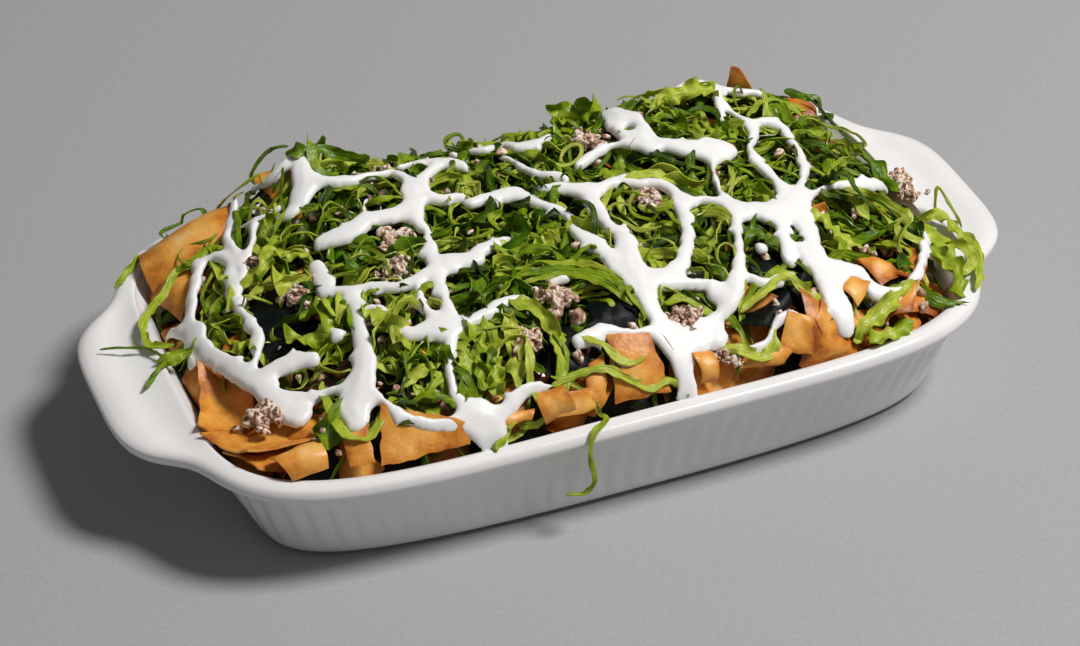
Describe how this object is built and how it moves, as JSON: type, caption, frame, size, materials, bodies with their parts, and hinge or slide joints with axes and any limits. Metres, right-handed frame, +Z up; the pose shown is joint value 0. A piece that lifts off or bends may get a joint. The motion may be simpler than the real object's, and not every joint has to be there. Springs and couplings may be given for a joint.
{
  "type": "nachos in a gratin dish",
  "caption": "Fried wonton nachos heaped in a ribbed porcelain gratin dish, with shredded lettuce, crumbled meat, dark seaweed sheets and a net of sour cream.",
  "frame": {"origin": "on the table, under the middle of the dish", "axes": "+X along the dish through its right-hand handle, +Y to its far side, +Z up"},
  "size_m": [0.3168, 0.166, 0.0707],
  "materials": {
    "porcelain": "glossy white glaze",
    "salad": "shredded lettuce, moist",
    "fried_dough": "golden fried dough, slightly oily",
    "seaweed": "dark, slightly glossy",
    "meat": "crumbled cooked meat",
    "cream": "thick white cream, soft gloss",
    "sauce": "dark red-brown glossy sauce"
  },
  "bodies": {
    "root": {"dish": "porcelain", "salad_heap": "salad", "chip_far_left_curl": "fried_dough", "chip_far_left_small": "fried_dough", "chip_left_petal": "fried_dough", "chip_left_scoop": "fried_dough", "chip_left_bowl": "fried_dough", "chip_left_roll": "fried_dough", "chip_front_dark": "fried_dough", "chip_front_wedge": "fried_dough", "chip_front_shard": "fried_dough", "chip_front_knot": "fried_dough", "chip_front_strip": "fried_dough", "chip_square_back": "fried_dough", "chip_square": "fried_dough", "chip_front_curved": "fried_dough", "chip_front_low": "fried_dough", "chip_fold_left": "fried_dough", "chip_fold_right": "fried_dough", "chip_right_triangle": "fried_dough", "chip_right_leaning": "fried_dough", "chip_right_glazed": "fried_dough", "chip_far_right": "fried_dough", "chip_right_wall": "fried_dough", "chip_far_tip": "fried_dough", "seaweed_left": "seaweed", "seaweed_front": "seaweed", "seaweed_front_low": "seaweed", "seaweed_right": "seaweed", "seaweed_right_small": "seaweed", "meat_left_bowl": "meat", "meat_left": "meat", "meat_left_far": "meat", "meat_middle_far": "meat", "meat_middle": "meat", "meat_front": "meat", "meat_front_right": "meat", "meat_far": "meat", "meat_centre": "meat", "meat_front_edge": "meat", "meat_rim": "meat", "meat_handle_far": "meat", "meat_handle_near": "meat", "cream_drizzle": "cream"}
  },
  "joints": []
}
